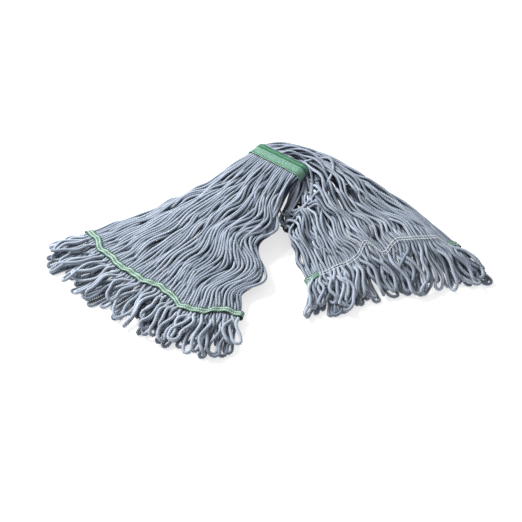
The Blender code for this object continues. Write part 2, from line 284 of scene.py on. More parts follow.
# %% A fan's surface
class Fan:
    """The surface in the middle of one fan's thickness."""

    def __init__(self, side, guides, thicknesses):
        self.side = side
        self.thicknesses = thicknesses
        self.reaches = [share * STRAND_LENGTH for share, _, _ in guides]
        rest = HEADBAND_HEIGHT - WAIST_THICKNESS / 2
        lines = []
        for u, (share, headings, heights) in zip(ALL_U, guides):
            turns = np.radians(through(KNOTS, headings, STEPS))
            step = share * STRAND_LENGTH * STEPS[1]
            flat = np.stack([np.cos(turns), np.sin(turns)], axis=1) * step
            walked = np.vstack([[0.0, 0.0], np.cumsum((flat[1:] + flat[:-1]) / 2, axis=0)])
            start = self.band_edge(u)
            drop = start[2] - WAIST[2]
            z = self.half(STEPS) + (rest + drop) * through(KNOTS, heights, STEPS) + FLOOR_SHIFT
            lines.append(np.column_stack([walked + start[:2], z]))
        self.lines = np.array(lines)

    def band_edge(self, u):
        return WAIST + ALONG * (u - 0.5) * WAIST_WIDTH + ACROSS * self.side * HEADBAND_WIDTH / 2

    def half(self, s):
        return through(KNOTS, self.thicknesses, s) / 2

    def at_tape(self, u, offset=0.0):
        """The s this far past the middle of the tail tape."""
        return 1 - (FRINGE_LENGTH - offset) / through(ALL_U, self.reaches, u)

    def middle(self, u, s):
        """Points of the surface at u and s, which are arrays of one shape."""
        u, s = np.broadcast_arrays(np.asarray(u, float), np.asarray(s, float))
        place = np.clip(s, 0.0, 1.0) * (len(STEPS) - 1)
        k = np.minimum(place.astype(int), len(STEPS) - 2)
        share = (place - k)[..., None]
        rows = self.lines[:, k] * (1 - share) + self.lines[:, k + 1] * share
        past = np.clip(s - 1.0, 0.0, None)[..., None] / STEPS[1]
        last_step = self.lines[:, -1] - self.lines[:, -2]
        rows = rows + last_step.reshape((len(ALL_U),) + (1,) * u.ndim + (3,)) * past
        slopes = np.gradient(rows, ALL_U, axis=0)
        i = np.clip((u * 4).astype(int), 0, 3)
        pick = i[None, ..., None]
        low, high = np.take_along_axis(rows, pick, 0)[0], np.take_along_axis(rows, pick + 1, 0)[0]
        low_slope = np.take_along_axis(slopes, pick, 0)[0] / 4
        high_slope = np.take_along_axis(slopes, pick + 1, 0)[0] / 4
        t = (u * 4 - i)[..., None]
        return (
            low * (2 * t**3 - 3 * t**2 + 1)
            + low_slope * (t**3 - 2 * t**2 + t)
            + high * (3 * t**2 - 2 * t**3)
            + high_slope * (t**3 - t**2)
        )

    def frame(self, u, s):
        """The surface's points, its direction across per unit of u, and its upward normal."""
        point = self.middle(u, s)
        across = (self.middle(u + 0.01, s) - self.middle(u - 0.01, s)) / 0.02
        onward = self.middle(u, s + 0.01) - self.middle(u, np.clip(s - 0.01, 0.0, None))
        normal = np.cross(onward, across)
        normal *= np.sign(normal[..., 2:3])
        normal = normal / np.linalg.norm(normal, axis=-1, keepdims=True)
        start = ease(s, 0.0, 0.10)[..., None]
        normal = BAND_UP * (1 - start) + normal * start
        return point, across, normal / np.linalg.norm(normal, axis=-1, keepdims=True)


LEFT = Fan(-1, LEFT_GUIDES, LEFT_THICKNESSES)
RIGHT = Fan(1, RIGHT_GUIDES, RIGHT_THICKNESSES)
for word, fan in (("left", LEFT), ("right", RIGHT)):
    ends = fan.middle(np.array([0.0, 1.0]), np.array([0.8, 0.8]))
    print(
        word,
        "tail is",
        round(float(np.linalg.norm(ends[1] - ends[0])), 3),
        "m from edge to edge",
    )

# %% [markdown]
# ## Laying the strands
# In the real mop more than a hundred legs of yarn are squeezed five deep in the headband,
# and are sewn two deep under the tail tape. Between the two they find their own places:
# they bunch in clusters, wander in long waves, and ride over each other. Each leg here gets
# a wished-for path with those waves. Then a small solver pushes legs apart wherever two of
# them come closer than one yarn's thickness, and keeps them inside the fan's thickness. It
# works in two numbers at each station along the leg: u across the fan and h above its
# middle.

# %% The fan's thickness where the yarn is
EDGE_SHARE = WAIST_THICKNESS / 2 / WAIST_WIDTH


def fullness(u):
    """The share of the fan's thickness that is left at u: its two edges are rounded."""
    inward = np.clip(np.minimum(u, 1 - u) / EDGE_SHARE, 0.0, 1.0)
    return np.maximum(np.sqrt(1 - (1 - inward) ** 2), 0.55)


def pinched(fan, u, s, t):
    """Half the fan's thickness, drawn in a little by the rows of thread at the tail tape."""
    return fan.half(s) * fullness(u) * (1 - 0.22 * np.exp(-(((t - 1.0) / 0.03) ** 2)))


print("the thread draws the fan in to", pinched(LEFT, 0.5, 0.8, 1.0).round(4) * 2, "m")

# %% Where each leg would like to run
BODY_STATIONS = 60  # from the headband to the tail tape
TAIL_STATIONS = 16  # from the tail tape to the loop's tip
BAND_LAYERS = 5
BAND_SQUEEZE = 0.76  # the yarn's width in the headband, as a share of its free width
tau = np.linspace(0.0, 1.0, BODY_STATIONS)
tail = np.linspace(0.0, 1.0, TAIL_STATIONS + 1)[1:]


def squeezed(fan, s):
    """The yarn's width at s, as a share of its free width. The right fan is crowded for longer."""
    return BAND_SQUEEZE + (1 - BAND_SQUEEZE) * ease(s, 0.0, 0.18 if fan.side < 0 else 0.28)


def waves(rng, rows, cycles):
    """A smooth wandering line for each row, about -1 to 1, with roughly so many cycles."""
    x = np.concatenate([tau, 1 + tail * 0.2])[None, :]
    total = np.zeros((rows, x.shape[1]))
    for octave, share in ((1.0, 0.62), (1.9, 0.38)):
        turns = cycles * octave * rng.uniform(0.75, 1.25, (rows, 1))
        phase = rng.uniform(0, 2 * math.pi, (rows, 1))
        total += share * np.sin(2 * math.pi * turns * x + phase)
    return total


def clusters(rng):
    """Which cluster of neighbouring legs each leg belongs to."""
    sizes = []
    while sum(sizes) < LEGS:
        sizes.append(int(rng.integers(3, 8)))
    return np.repeat(np.arange(len(sizes)), sizes)[:LEGS]


rng = np.random.default_rng(7)
print("the first legs bunch as", clusters(rng)[:20])


# %% The wished-for paths of one fan
def wishes(fan, rng, big_wave, cluster_size, single_size, loose_from):
    """u, s and h of every leg at every station, before the legs push on each other."""
    number = np.arange(LEGS)
    column = number // BAND_LAYERS
    columns = -(-LEGS // BAND_LAYERS)
    layer = np.concatenate([rng.permutation(BAND_LAYERS) for _ in range(columns)])[:LEGS]
    u_band = (column + 0.5 + 0.35 * ((layer % 2) - 0.5)) / columns
    u_tape = (number + 0.5) / LEGS
    s_tape = fan.at_tape(u_tape)
    s_tip = 1 + np.repeat(rng.uniform(-0.070, 0.012, LEGS // 2), 2)
    beyond = (s_tip - s_tape)[:, None] * tail[None, :]
    s = np.concatenate(
        [tau[None, :] * s_tape[:, None], s_tape[:, None] + beyond],
        axis=1,
    )
    t = np.concatenate([tau, 1 + tail])[None, :]
    spread = ease(t, 0.0, 0.42)
    u = u_band[:, None] * (1 - spread) + u_tape[:, None] * spread
    width = np.linalg.norm(fan.frame(u, s)[1], axis=-1)
    free = ease(t, *loose_from) * (1 - 0.85 * ease(t, 0.80, 0.99))
    group = clusters(rng)
    centre = np.array([u_tape[group == g].mean() for g in group])
    u += (centre - u_tape)[:, None] * 0.16 * free
    group_wave = waves(rng, group.max() + 1, 2.4)[group] * cluster_size
    single_wave = waves(rng, LEGS, 3.5) * single_size
    u += (big_wave(u_tape[:, None], t) + (group_wave + single_wave) * free) / width
    half = fan.half(s) - YARN_DIAMETER / 2
    h_band = (layer - (BAND_LAYERS - 1) / 2) / ((BAND_LAYERS - 1) / 2) * (
        WAIST_THICKNESS - YARN_DIAMETER * BAND_SQUEEZE
    ) / 2
    rank = rng.uniform(-1, 1, LEGS)
    group_rise = waves(rng, group.max() + 1, 2.0)[group]
    rise = np.clip(rank[:, None] + 0.7 * group_rise + 0.3 * waves(rng, LEGS, 3.0), -1, 1)
    h_tape = np.where(number % 2 == 0, 1.0, -1.0)
    mix = ease(t, 0.03, 0.30)
    sewn = ease(t, 0.84, 0.97)
    h = h_band[:, None] * (1 - mix) + half * rise * mix
    h = h * (1 - sewn) + half * h_tape[:, None] * sewn
    return u, s, h


print("wishes take", BODY_STATIONS + TAIL_STATIONS, "stations a leg")

# %% [markdown]
# Past the tail tape two neighbouring legs are the two sides of one loop. Each loop leans,
# swings a little to one side and opens towards its tip. Every second loop lies flat on the
# floor, and the others lie over the gaps between those.


# %% The loops past the tape
LOOP_TOP = 0.015  # how high a loop may lie over the fan's middle


def open_loops(fan, rng, u, s, h, drift):
    """Bends the tail stations of each pair of legs into an opening loop."""
    first = BODY_STATIONS
    loops = LEGS // 2
    width = np.linalg.norm(fan.frame(u[:, first:], s[:, first:])[1], axis=-1)[0::2]
    base = u[0::2, first - 1] * 0.5 + u[1::2, first - 1] * 0.5
    on_top = (np.arange(loops)[:, None] % 2).astype(float)
    opening = YARN_DIAMETER * (1.25 + on_top * rng.uniform(0.7, 2.4, (loops, 1)))
    lean = on_top * rng.uniform(0.0, 0.40 * math.pi, (loops, 1))
    lean = lean * rng.choice([-1, 1], (loops, 1))
    opening = opening * (1 + 0.35 * (1 - on_top))
    apart = YARN_DIAMETER + (opening - YARN_DIAMETER) * ease(tail, 0.12, 0.80)[None, :]
    swing = rng.normal(0.0, 1.0, (loops, 1)) * (0.002 + 0.006 * on_top) * tail[None, :] ** 1.6
    turns = rng.uniform(0.8, 1.5, (loops, 1)) * tail[None, :] + rng.uniform(0, 1, (loops, 1))
    ripple = (0.0012 + 0.0040 * on_top) * np.sin(2 * math.pi * turns)
    swing += ripple * ease(tail, 0.0, 0.35)[None, :]
    middle = base[:, None] + (drift(base[:, None], tail[None, :]) + swing) / width
    low = -(fan.half(s[0::2, first:]) - YARN_DIAMETER / 2)
    rise = low + (LOOP_TOP - low) * on_top * rng.uniform(0.35, 0.85, (loops, 1))
    lift = ease(tail, 0.0, 0.5)[None, :]
    for side, row in ((1, 0), (-1, 1)):
        turned = side * np.cos(lean) * apart / 2
        u[row::2, first:] = middle + (turned * lift + side * 0.0014 * (1 - lift)) / width
        straight = h[row::2, first:]
        leaned = rise + side * np.sin(lean) * apart / 2
        h[row::2, first:] = straight * (1 - lift) + leaned * lift
    return u, h


print("each fan ends in", LEGS // 2, "loops")


# %% The solver
NEIGHBOURS = 20  # a leg is pushed by legs fewer than this many places away
REFRESH_ROUNDS = 12  # rounds between two measurements of the fan's width
PUSH_SHARE = 0.55  # how much of an overlap one round takes away


def settle(fan, u, s, h, rounds, pull):
    """Moves the legs apart until they lie beside and on each other, one yarn thick."""
    wished_u, wished_h = u.copy(), h.copy()
    t = np.concatenate([tau, 1 + tail])[None, :]
    thick = YARN_DIAMETER * squeezed(fan, s) * 1.02
    half = pinched(fan, u, s, t)
    floor_side = -(half - thick / 2)
    roof = np.where(t <= 1.0, half - thick / 2, np.maximum(half - thick / 2, 0.016))
    least_u = np.minimum(wished_u, 0.004)
    most_u = np.maximum(wished_u, 0.996)
    for turn in range(rounds):
        if turn % REFRESH_ROUNDS == 0:
            point, across, normal = fan.frame(u, s)
            laid = point + normal * h[..., None]
            onward = np.gradient(laid, axis=1)
            onward /= np.linalg.norm(onward, axis=-1, keepdims=True)
            slant = across - (across * onward).sum(-1, keepdims=True) * onward
            width = np.linalg.norm(slant, axis=-1)
        push_u = np.zeros_like(u)
        push_h = np.zeros_like(h)
        for step in range(1, NEIGHBOURS):
            du = (u[step:] - u[:-step]) * width[step:]
            dh = h[step:] - h[:-step]
            gap = np.sqrt(du**2 + dh**2) + 1e-9
            need = np.clip((thick[step:] + thick[:-step]) / 2 - gap, 0.0, None) * 0.5
            across_push, up_push = need * du / gap, need * dh / gap
            push_u[step:] += across_push
            push_u[:-step] -= across_push
            push_h[step:] += up_push
            push_h[:-step] -= up_push
        u = u + PUSH_SHARE * push_u / width
        h = h + PUSH_SHARE * push_h
        u += pull * (wished_u - u)
        h += pull * (wished_h - h)
        for values, wished in ((u, wished_u), (h, wished_h)):
            moved = values - wished
            for _ in range(3):
                moved[:, 1:-1] += 0.30 * (moved[:, :-2] + moved[:, 2:] - 2 * moved[:, 1:-1])
            values[:] = wished + moved
        u = np.clip(u, least_u, most_u)
        h = np.clip(h, floor_side, roof)
    return u, h


# %% Strands of both fans
def between(t, low, high):
    """A smooth hump, 0 at low and at high and 1 half way."""
    return np.sin(math.pi * np.clip((t - low) / (high - low), 0.0, 1.0)) ** 2


def left_wave(u, t):
    size = 0.002 + 0.008 * ease(u, 0.25, 1.0)
    hold = ease(t, 0.15, 0.35) * (1 - ease(t, 0.78, 1.0))
    return size * hold * np.sin(2 * math.pi * (t * 2.7 - 0.62) + 1.5 * (1 - u))


def right_wave(u, t):
    hold = ease(t, 0.25, 0.5) * (1 - ease(t, 0.85, 1.0))
    size = 0.007 * np.sin(math.pi * np.clip(u, 0, 1))
    return size * hold * np.sin(2 * math.pi * (t * 2.6 + u * 1.7))


def folds(u, t, count, height, until):
    """Bunches of yarn that stand up in ridges below the headband."""
    ridge = np.sin(2 * math.pi * (count * u + 0.45 * np.sin(2 * math.pi * (1.4 * t + 0.7 * u))))
    return height * ridge * ease(t, 0.01, 0.10) * (1 - ease(t, until - 0.35, until))


def left_lean(u, across, t, deep):
    """The near edge of the left fan hangs out over the right fan."""
    level = across / np.linalg.norm(across, axis=-1, keepdims=True)
    out = 0.013 * ease(u, 0.3, 1.0) * between(t, 0.02, 0.62)
    out += 0.025 * ease(u, 0.5, 1.0) * between(t, 0.44, 0.86)
    return level * out[..., None] + UP * folds(u, t, 8.0, 0.0030, 0.70)[..., None]


def right_lean(u, across, t, deep):
    """The near edge of the right fan tucks in under the left fan, and its tail has two humps."""
    level = across / np.linalg.norm(across, axis=-1, keepdims=True)
    tuck = ease(u, 0.45, 1.0) * ease(t, 0.02, 0.16) * (1 - ease(t, 0.30, 0.52))
    back = ease(u, 0.55, 1.0) * between(t, 0.42, 0.98)
    hump = HUMP_RISE * right_humps(u) * between(t, 0.70, 1.25)
    under = ease(u, 0.15, 1.0) * ease(t, 0.0, 0.12) * (1 - ease(t, 0.17, 0.36))
    sink = (0.006 + 0.026 * ease(deep, -0.3, 0.8)) * under
    rise = hump + folds(u, t, 7.0, 0.0042, 0.92) - 0.010 * tuck - sink
    aside = level * (0.034 * tuck - 0.014 * back)[..., None]
    west = (0.030 + 0.018 * ease(u, 0.72, 1.0)) * under
    return aside + UP * rise[..., None] - EAST * west[..., None]


def cover(fan, u, s, h):
    """How much other yarn lies over each point, from 0 to 1. The yarn material paints shade by it.
    """
    width = np.linalg.norm(fan.frame(u, s)[1], axis=-1)
    over = np.zeros_like(u)
    for step in range(1, 24):
        aside = 1 - np.abs(u[step:] - u[:-step]) * width[step:] / (1.3 * YARN_DIAMETER)
        higher = (h[step:] - h[:-step]) / YARN_DIAMETER
        over[:-step] += np.clip(aside, 0, 1) * np.clip(higher, 0, 1)
        over[step:] += np.clip(aside, 0, 1) * np.clip(-higher, 0, 1)
    return np.clip(over * 1.5, 0.0, 1.0)


HUMP_RISE = 0.013


def right_humps(u):
    """Where along its tail tape the right fan stands up: 1 on its two humps."""
    return np.exp(-(((u - 0.53) / 0.050) ** 2)) + ease(u, 0.08, 0.20) * (1 - ease(u, 0.37, 0.45))


def left_drift(u, q):
    return 0.007 * np.sin(2 * math.pi * (u * 2.2 + 0.1)) * q**1.3


def right_drift(u, q):
    bend = 0.016 * np.sin(2 * math.pi * (u * 2.6 + 0.35)) * (1 - ease(u, 0.8, 0.95))
    return (bend + 0.024 * ease(u, 0.80, 1.0)) * q**1.2


FLOOR_HEIGHT = 0.0031  # the lowest that a loose yarn's middle lies
CALM_PASSES = 22  # smoothing along the strands where they leave the headband side by side
# The painted shade on covered yarn is kept at this share in the loops past the tape.
LOOP_COVER = 0.45  # how dark covered yarn stays in the fringe, where light gets between


def lay(fan, seed, big_wave, drift, cluster_size, single_size, loose_from, lean, calm_until):
    """3-D points of every leg of one fan, station by station, and the numbers behind them."""
    rng = np.random.default_rng(seed)
    u, s, h = wishes(fan, rng, big_wave, cluster_size, single_size, loose_from)
    u, h = open_loops(fan, rng, u, s, h, drift)
    u, h = settle(fan, u, s, h, 140, 0.02)
    calm = 0.35 * (1 - ease(s / fan.at_tape(u), *calm_until))[:, 1:-1]
    for _ in range(CALM_PASSES):
        for values in (u, h):
            values[:, 1:-1] += calm * (values[:, :-2] + values[:, 2:] - 2 * values[:, 1:-1])
    point, across, normal = fan.frame(u, s)
    laid = point + normal * h[..., None] + lean(u, across, s / fan.at_tape(u), -h / fan.half(s))
    for _ in range(3):
        laid[:, 1:-1] += 0.25 * (laid[:, :-2] + laid[:, 2:] - 2 * laid[:, 1:-1])
    laid[..., 2] = np.maximum(laid[..., 2], FLOOR_HEIGHT)
    # Painted shade: how much other yarn covers each point, which the yarn material turns into
    # darker colour.
    shade = cover(fan, u, s, h)
    shade[:, BODY_STATIONS:] *= LOOP_COVER
    return laid, s, shade


left_laid = lay(
    LEFT,
    seed=11,
    big_wave=left_wave,
    drift=left_drift,
    cluster_size=0.0048,
    single_size=0.0018,
    loose_from=(0.0, 0.12),
    lean=left_lean,
    calm_until=(0.04, 0.20),
)
right_laid = lay(
    RIGHT,
    seed=23,
    big_wave=right_wave,
    drift=right_drift,
    cluster_size=0.0064,
    single_size=0.0012,
    loose_from=(0.12, 0.38),
    lean=right_lean,
    calm_until=(0.30, 0.56),
)
for word, laid in (("left", left_laid[0]), ("right", right_laid[0])):
    lengths = np.linalg.norm(np.diff(laid, axis=1), axis=-1).sum(axis=1)
    print(word, "legs are", lengths.min().round(3), "to", lengths.max().round(3), "m long")

# %% [markdown]
# ## Yarn
# Mop yarn is four plies twisted together, of carded fibres that leave a matt, slightly fuzzy
# surface. A curve with one spline for each strand carries it, and a Geometry Nodes tree runs
# a four-lobed outline along every spline. The outline turns once for each pitch of the
# twist, so the plies are real ridges that wind round the strand.

# %% The yarn tree
YARN_PITCH = 0.0150  # along the strand, for one whole turn of a ply
PLY_DEPTH = 0.37  # how far the grooves go in, as a share of the radius
RING_POINTS = 8
RING_STEP = 0.0021  # between two rings along a strand


def yarn_tree():
    tree, given = new_tree(
        "plied yarn",
        (
            ("Radius", "Float"),
            ("Ply depth", "Float"),
            ("Twist pitch", "Float"),
            ("Ring step", "Float"),
            ("Material", "Material"),
        ),
    )
    smooth = add(
        tree,
        "GeometryNodeCurveSplineType",
        {"Curve": given["Geometry"]},
        spline_type="CATMULL_ROM",
    )
    rings = add(
        tree,
        "GeometryNodeResampleCurve",
        {"Curve": smooth.outputs[0], "Length": given["Ring step"]},
        mode="LENGTH",
    )
    run = add(tree, "GeometryNodeSplineParameter")
    turns = add(
        tree,
        "ShaderNodeMath",
        {0: run.outputs["Length"], 1: given["Twist pitch"]},
        operation="DIVIDE",
    )
    angle = add(tree, "ShaderNodeMath", {0: turns.outputs[0], 1: 2 * math.pi}, operation="MULTIPLY")
    strand = add(tree, "GeometryNodeCurveOfPoint")
    own = add(
        tree,
        "FunctionNodeRandomValue",
        {"ID": strand.outputs["Curve Index"], "Seed": 5},
        data_type="FLOAT",
    )
    # The tilt that comes in holds how much other yarn covers each point. It is kept as covered, for
    # the painted shade on buried yarn, before the tilt is set to the twist.
    covered = add(tree, "GeometryNodeInputCurveTilt")
    shaded = add(
        tree,
        "GeometryNodeStoreNamedAttribute",
        {"Geometry": rings.outputs[0], "Name": "covered", "Value": covered.outputs[0]},
        data_type="FLOAT",
        domain="POINT",
    )
    twisted = add(
        tree,
        "GeometryNodeSetCurveTilt",
        {"Curve": shaded.outputs[0], "Tilt": angle.outputs[0]},
    )
    marked = add(
        tree,
        "GeometryNodeStoreNamedAttribute",
        {"Geometry": twisted.outputs[0], "Name": "strand", "Value": own.outputs[1]},
        data_type="FLOAT",
        domain="POINT",
    )
    circle = add(
        tree,
        "GeometryNodeCurvePrimitiveCircle",
        {"Resolution": RING_POINTS, "Radius": given["Radius"]},
        mode="RADIUS",
    )
    index = add(tree, "GeometryNodeInputIndex")
    odd = add(tree, "ShaderNodeMath", {0: index.outputs[0], 1: 2.0}, operation="MODULO")
    groove = add(
        tree,
        "ShaderNodeMath",
        {0: odd.outputs[0], 1: given["Ply depth"]},
        operation="MULTIPLY",
    )
    size = add(tree, "ShaderNodeMath", {0: 1.0, 1: groove.outputs[0]}, operation="SUBTRACT")
    spot = add(tree, "GeometryNodeInputPosition")
    shaped = add(
        tree,
        "ShaderNodeVectorMath",
        {0: spot.outputs[0], "Scale": size.outputs[0]},
        operation="SCALE",
    )
    lobed = add(
        tree,
        "GeometryNodeSetPosition",
        {"Geometry": circle.outputs[0], "Position": shaped.outputs[0]},
    )
    # The valleys of the outline are marked as groove, for the painted shade that the yarn material
    # puts in them.
    lobed_marked = add(
        tree,
        "GeometryNodeStoreNamedAttribute",
        {"Geometry": lobed.outputs[0], "Name": "groove", "Value": odd.outputs[0]},
        data_type="FLOAT",
        domain="POINT",
    )
    width = add(tree, "GeometryNodeInputRadius")
    tube = add(
        tree,
        "GeometryNodeCurveToMesh",
        {
            "Curve": marked.outputs[0],
            "Profile Curve": lobed_marked.outputs[0],
            "Scale": width.outputs[0],
            "Fill Caps": True,
        },
    )
    soft = add(
        tree,
        "GeometryNodeSetShadeSmooth",
        {"Geometry": tube.outputs[0], "Shade Smooth": True},
    )
    real = add(tree, "GeometryNodeRealizeInstances", {"Geometry": soft.outputs[0]})
    dyed = add(
        tree,
        "GeometryNodeSetMaterial",
        {"Geometry": real.outputs[0], "Material": given["Material"]},
    )
    add(tree, "NodeGroupOutput", {"Geometry": dyed.outputs[0]})
    return tree


YARN_TREE = yarn_tree()
print("the yarn tree has", len(YARN_TREE.nodes), "nodes")


# %% From splines to a plain mesh
def spline_curve(name, lines, radii=None, shades=None):
    """A curve object with one poly spline for each line of points. A point's tilt carries how
    much other yarn covers it, for the painted shade on buried yarn, until the yarn tree reads it."""
    curve = bpy.data.curves.new(name, "CURVE")
    curve.dimensions = "3D"
    for number, line in enumerate(lines):
        spline = curve.splines.new("POLY")
        spline.points.add(len(line) - 1)
        spline.points.foreach_set("co", np.column_stack([line, np.ones(len(line))]).ravel())
        sizes = np.ones(len(line)) if radii is None else radii[number]
        spline.points.foreach_set("radius", sizes)
        if shades is not None:
            spline.points.foreach_set("tilt", shades[number])
    obj = bpy.data.objects.new(name, curve)
    bpy.context.collection.objects.link(obj)
    return obj


def grown(name, source, tree, values):
    """The plain mesh that a tree grows on the source object, which is then removed."""
    modifier = source.modifiers.new("tree", "NODES")
    modifier.node_group = tree
    items = [item for item in tree.interface.items_tree if item.in_out == "INPUT"]
    sockets = {item.name: item.identifier for item in items}
    for key, value in values.items():
        modifier[sockets[key]] = value
    graph = bpy.context.evaluated_depsgraph_get()
    mesh = bpy.data.meshes.new_from_object(source.evaluated_get(graph), depsgraph=graph)
    bpy.data.objects.remove(source)
    mesh.name = name
    piece = bpy.data.objects.new(name, mesh)
    bpy.context.collection.objects.link(piece)
    return piece


print("helpers for trees are ready")

# %% [markdown]
# The yarn's dye is a grey blue. Carded cotton and viscose scatter light at their surface and
# a little inside, so the finish is fully matt with a faint fuzz sheen. Each strand took the
# dye a little differently, and fine fibre flecks run through it. The grooves between plies,
# and yarn that lies under other yarn, are painted darker: that is painted shade.


# %% Carded blue mop yarn
def yarn_material():
    made, tree = new_material("carded cotton mop yarn, blue")
    place = add(tree, "ShaderNodeTexCoord").outputs["Object"]
    fleck = add(
        tree,
        "ShaderNodeTexNoise",
        {"Vector": place, "Scale": 900.0, "Detail": 3.0, "Roughness": 0.6},
    )
    patch = add(tree, "ShaderNodeTexNoise", {"Vector": place, "Scale": 16.0, "Detail": 2.0})
    strand = add(tree, "ShaderNodeAttribute", attribute_name="strand")
    groove = add(tree, "ShaderNodeAttribute", attribute_name="groove")
    blend = add(
        tree,
        "ShaderNodeMath",
        {0: strand.outputs["Fac"], 1: 0.55, 2: 0.0},
        operation="MULTIPLY_ADD",
    )
    patchy = add(
        tree,
        "ShaderNodeMath",
        {0: patch.outputs["Fac"], 1: 0.35, 2: blend.outputs[0]},
        operation="MULTIPLY_ADD",
    )
    flecked = add(
        tree,
        "ShaderNodeMath",
        {0: fleck.outputs["Fac"], 1: 0.55, 2: patchy.outputs[0]},
        operation="MULTIPLY_ADD",
    )
    ramp = add(tree, "ShaderNodeValToRGB", {"Fac": flecked.outputs[0]})
    two_stops(ramp, 0.30, "#7A8799", 0.95, "#C2CDDC")
    # Painted shade: the yarn turns towards a dark navy, #243042, in the grooves between plies and
    # where other yarn covers it.
    deep = add(
        tree,
        "ShaderNodeMixRGB",
        {"Color1": ramp.outputs["Color"], "Color2": linear("#243042")},
        blend_type="MIX",
    )
    # The grooves give up to 0.56 of the painted shade, and full cover by other yarn gives 0.84.
    covered = add(tree, "ShaderNodeAttribute", attribute_name="covered")
    under = add(tree, "ShaderNodeMath", {0: covered.outputs["Fac"], 1: 0.84}, operation="MULTIPLY")
    depth = add(
        tree,
        "ShaderNodeMath",
        {0: groove.outputs["Fac"], 1: 0.56, 2: under.outputs[0]},
        operation="MULTIPLY_ADD",
        use_clamp=True,
    )
    tree.links.new(depth.outputs[0], deep.inputs["Fac"])
    bump = add(
        tree,
        "ShaderNodeBump",
        {"Height": fleck.outputs["Fac"], "Strength": 0.35, "Distance": 0.0006},
    )
    shader = add(
        tree,
        "ShaderNodeBsdfPrincipled",
        {
            "Base Color": deep.outputs[0],
            "Roughness": 0.95,
            "Specular IOR Level": 0.15,
            "Sheen Weight": 0.25,
            "Sheen Roughness": 0.5,
            "Normal": bump.outputs[0],
        },
    )
    add(tree, "ShaderNodeOutputMaterial", {"Surface": shader.outputs[0]})
    return made


YARN = yarn_material()
yarn_values = {
    "Radius": YARN_DIAMETER / 2 * 0.95,
    "Ply depth": PLY_DEPTH,
    "Twist pitch": YARN_PITCH,
    "Ring step": RING_STEP,
    "Material": YARN,
}
print("made", YARN.name)


# %% Fans, waist and loops, lock by lock
INSIDE = 0.006  # how far a fan's strands go into the headband
LOOP_SWELL = 0.22  # how much thicker the loose yarn of a loop is
TIP_TURNS = (25, 55, 90, 125, 155)  # degrees round a loop's tip, one for each point


def arc(first, second, onward):
    """Points round the tip of a loop, from the end of one leg to the end of the other."""
    middle, side = (first + second) / 2, (first - second) / 2
    reach = onward * max(np.linalg.norm(side), YARN_DIAMETER * 0.55) * 1.15
    turns = np.radians(TIP_TURNS)[:, None]
    round_tip = middle + side * np.cos(turns) + reach * np.sin(turns)
    round_tip[:, 2] = np.maximum(round_tip[:, 2], FLOOR_HEIGHT)
    return round_tip


def lock_pieces(word, fan, laid, s, shade, number):
    """The fan piece and the fringe piece of one lock."""
    legs = range((number - 1) * LEGS_PER_LOCK, number * LEGS_PER_LOCK)
    inward = -ACROSS * fan.side * INSIDE
    body = [np.vstack([laid[k, 0] + inward, laid[k, :BODY_STATIONS]]) for k in legs]
    widths = [squeezed(fan, np.append(0.0, s[k, :BODY_STATIONS])) for k in legs]
    shades = [np.append(1.0, shade[k, :BODY_STATIONS]) for k in legs]
    strands = spline_curve("strands", body, widths, shades)
    fan_piece = grown(f"{word}_strands_{number}", strands, YARN_TREE, yarn_values)
    loops, loop_shades = [], []
    for k in legs[::2]:
        going, back = laid[k, BODY_STATIONS - 1 :], laid[k + 1, BODY_STATIONS - 1 :]
        onward = (going[-1] - going[-3]) + (back[-1] - back[-3])
        onward /= np.linalg.norm(onward)
        loops.append(np.vstack([going, arc(going[-1], back[-1], onward), back[::-1]]))
        there, back_again = shade[k, BODY_STATIONS - 1 :], shade[k + 1, BODY_STATIONS - 1 :]
        bend = np.linspace(there[-1], back_again[-1], len(TIP_TURNS))
        loop_shades.append(np.concatenate([there, bend, back_again[::-1]]))
    leg_swell = np.append(1.0, 1 + LOOP_SWELL * ease(tail, 0.0, 0.30))
    swell = np.concatenate([leg_swell, np.full(len(TIP_TURNS), 1 + LOOP_SWELL), leg_swell[::-1]])
    loops_curve = spline_curve("loops", loops, [swell] * len(loops), loop_shades)
    fringe = grown(f"{word}_loops_{number}", loops_curve, YARN_TREE, yarn_values)
    return fan_piece, fringe


print("a lock holds", LEGS_PER_LOCK // 2, "loops")


triangles = 0
for word, fan, (laid, s, shade) in (("left", LEFT, left_laid), ("right", RIGHT, right_laid)):
    for number in range(1, LOCKS + 1):
        fan_piece, fringe = lock_pieces(word, fan, laid, s, shade, number)
        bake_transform(fan_piece)
        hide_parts(f"{word}_yarn_lock_{number}")
        lock_u = (number - 0.5) / LOCKS
        start = fan.middle(lock_u, fan.at_tape(lock_u, TAPE_WIDTH / 2))
        end = fan.middle(lock_u, fan.at_tape(lock_u, TAPE_WIDTH / 2 + 2 * FLEX_GAP))
        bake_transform(fringe)
        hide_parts(f"{word}_loop_lock_{number}")
        for piece in (fan_piece, fringe):
            triangles += sum(len(p.vertices) - 2 for p in piece.data.polygons)
for number in range(1, LOCKS + 1):
    legs = range((number - 1) * LEGS_PER_LOCK, number * LEGS_PER_LOCK)
    lines = [
        np.array([left_laid[0][k, 0] + ACROSS * INSIDE, right_laid[0][k, 0] - ACROSS * INSIDE])
        for k in legs
    ]
    sizes = [np.full(2, BAND_SQUEEZE) for _ in legs]
    waist = grown(
        f"waist_strands_{number}",
        spline_curve("waist", lines, sizes),
        YARN_TREE,
        yarn_values,
    )
    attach(waist, "headband")
    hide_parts(f"yarn_waist_lock_{number}")
    triangles += sum(len(p.vertices) - 2 for p in waist.data.polygons)
print("the yarn has", triangles, "triangles")
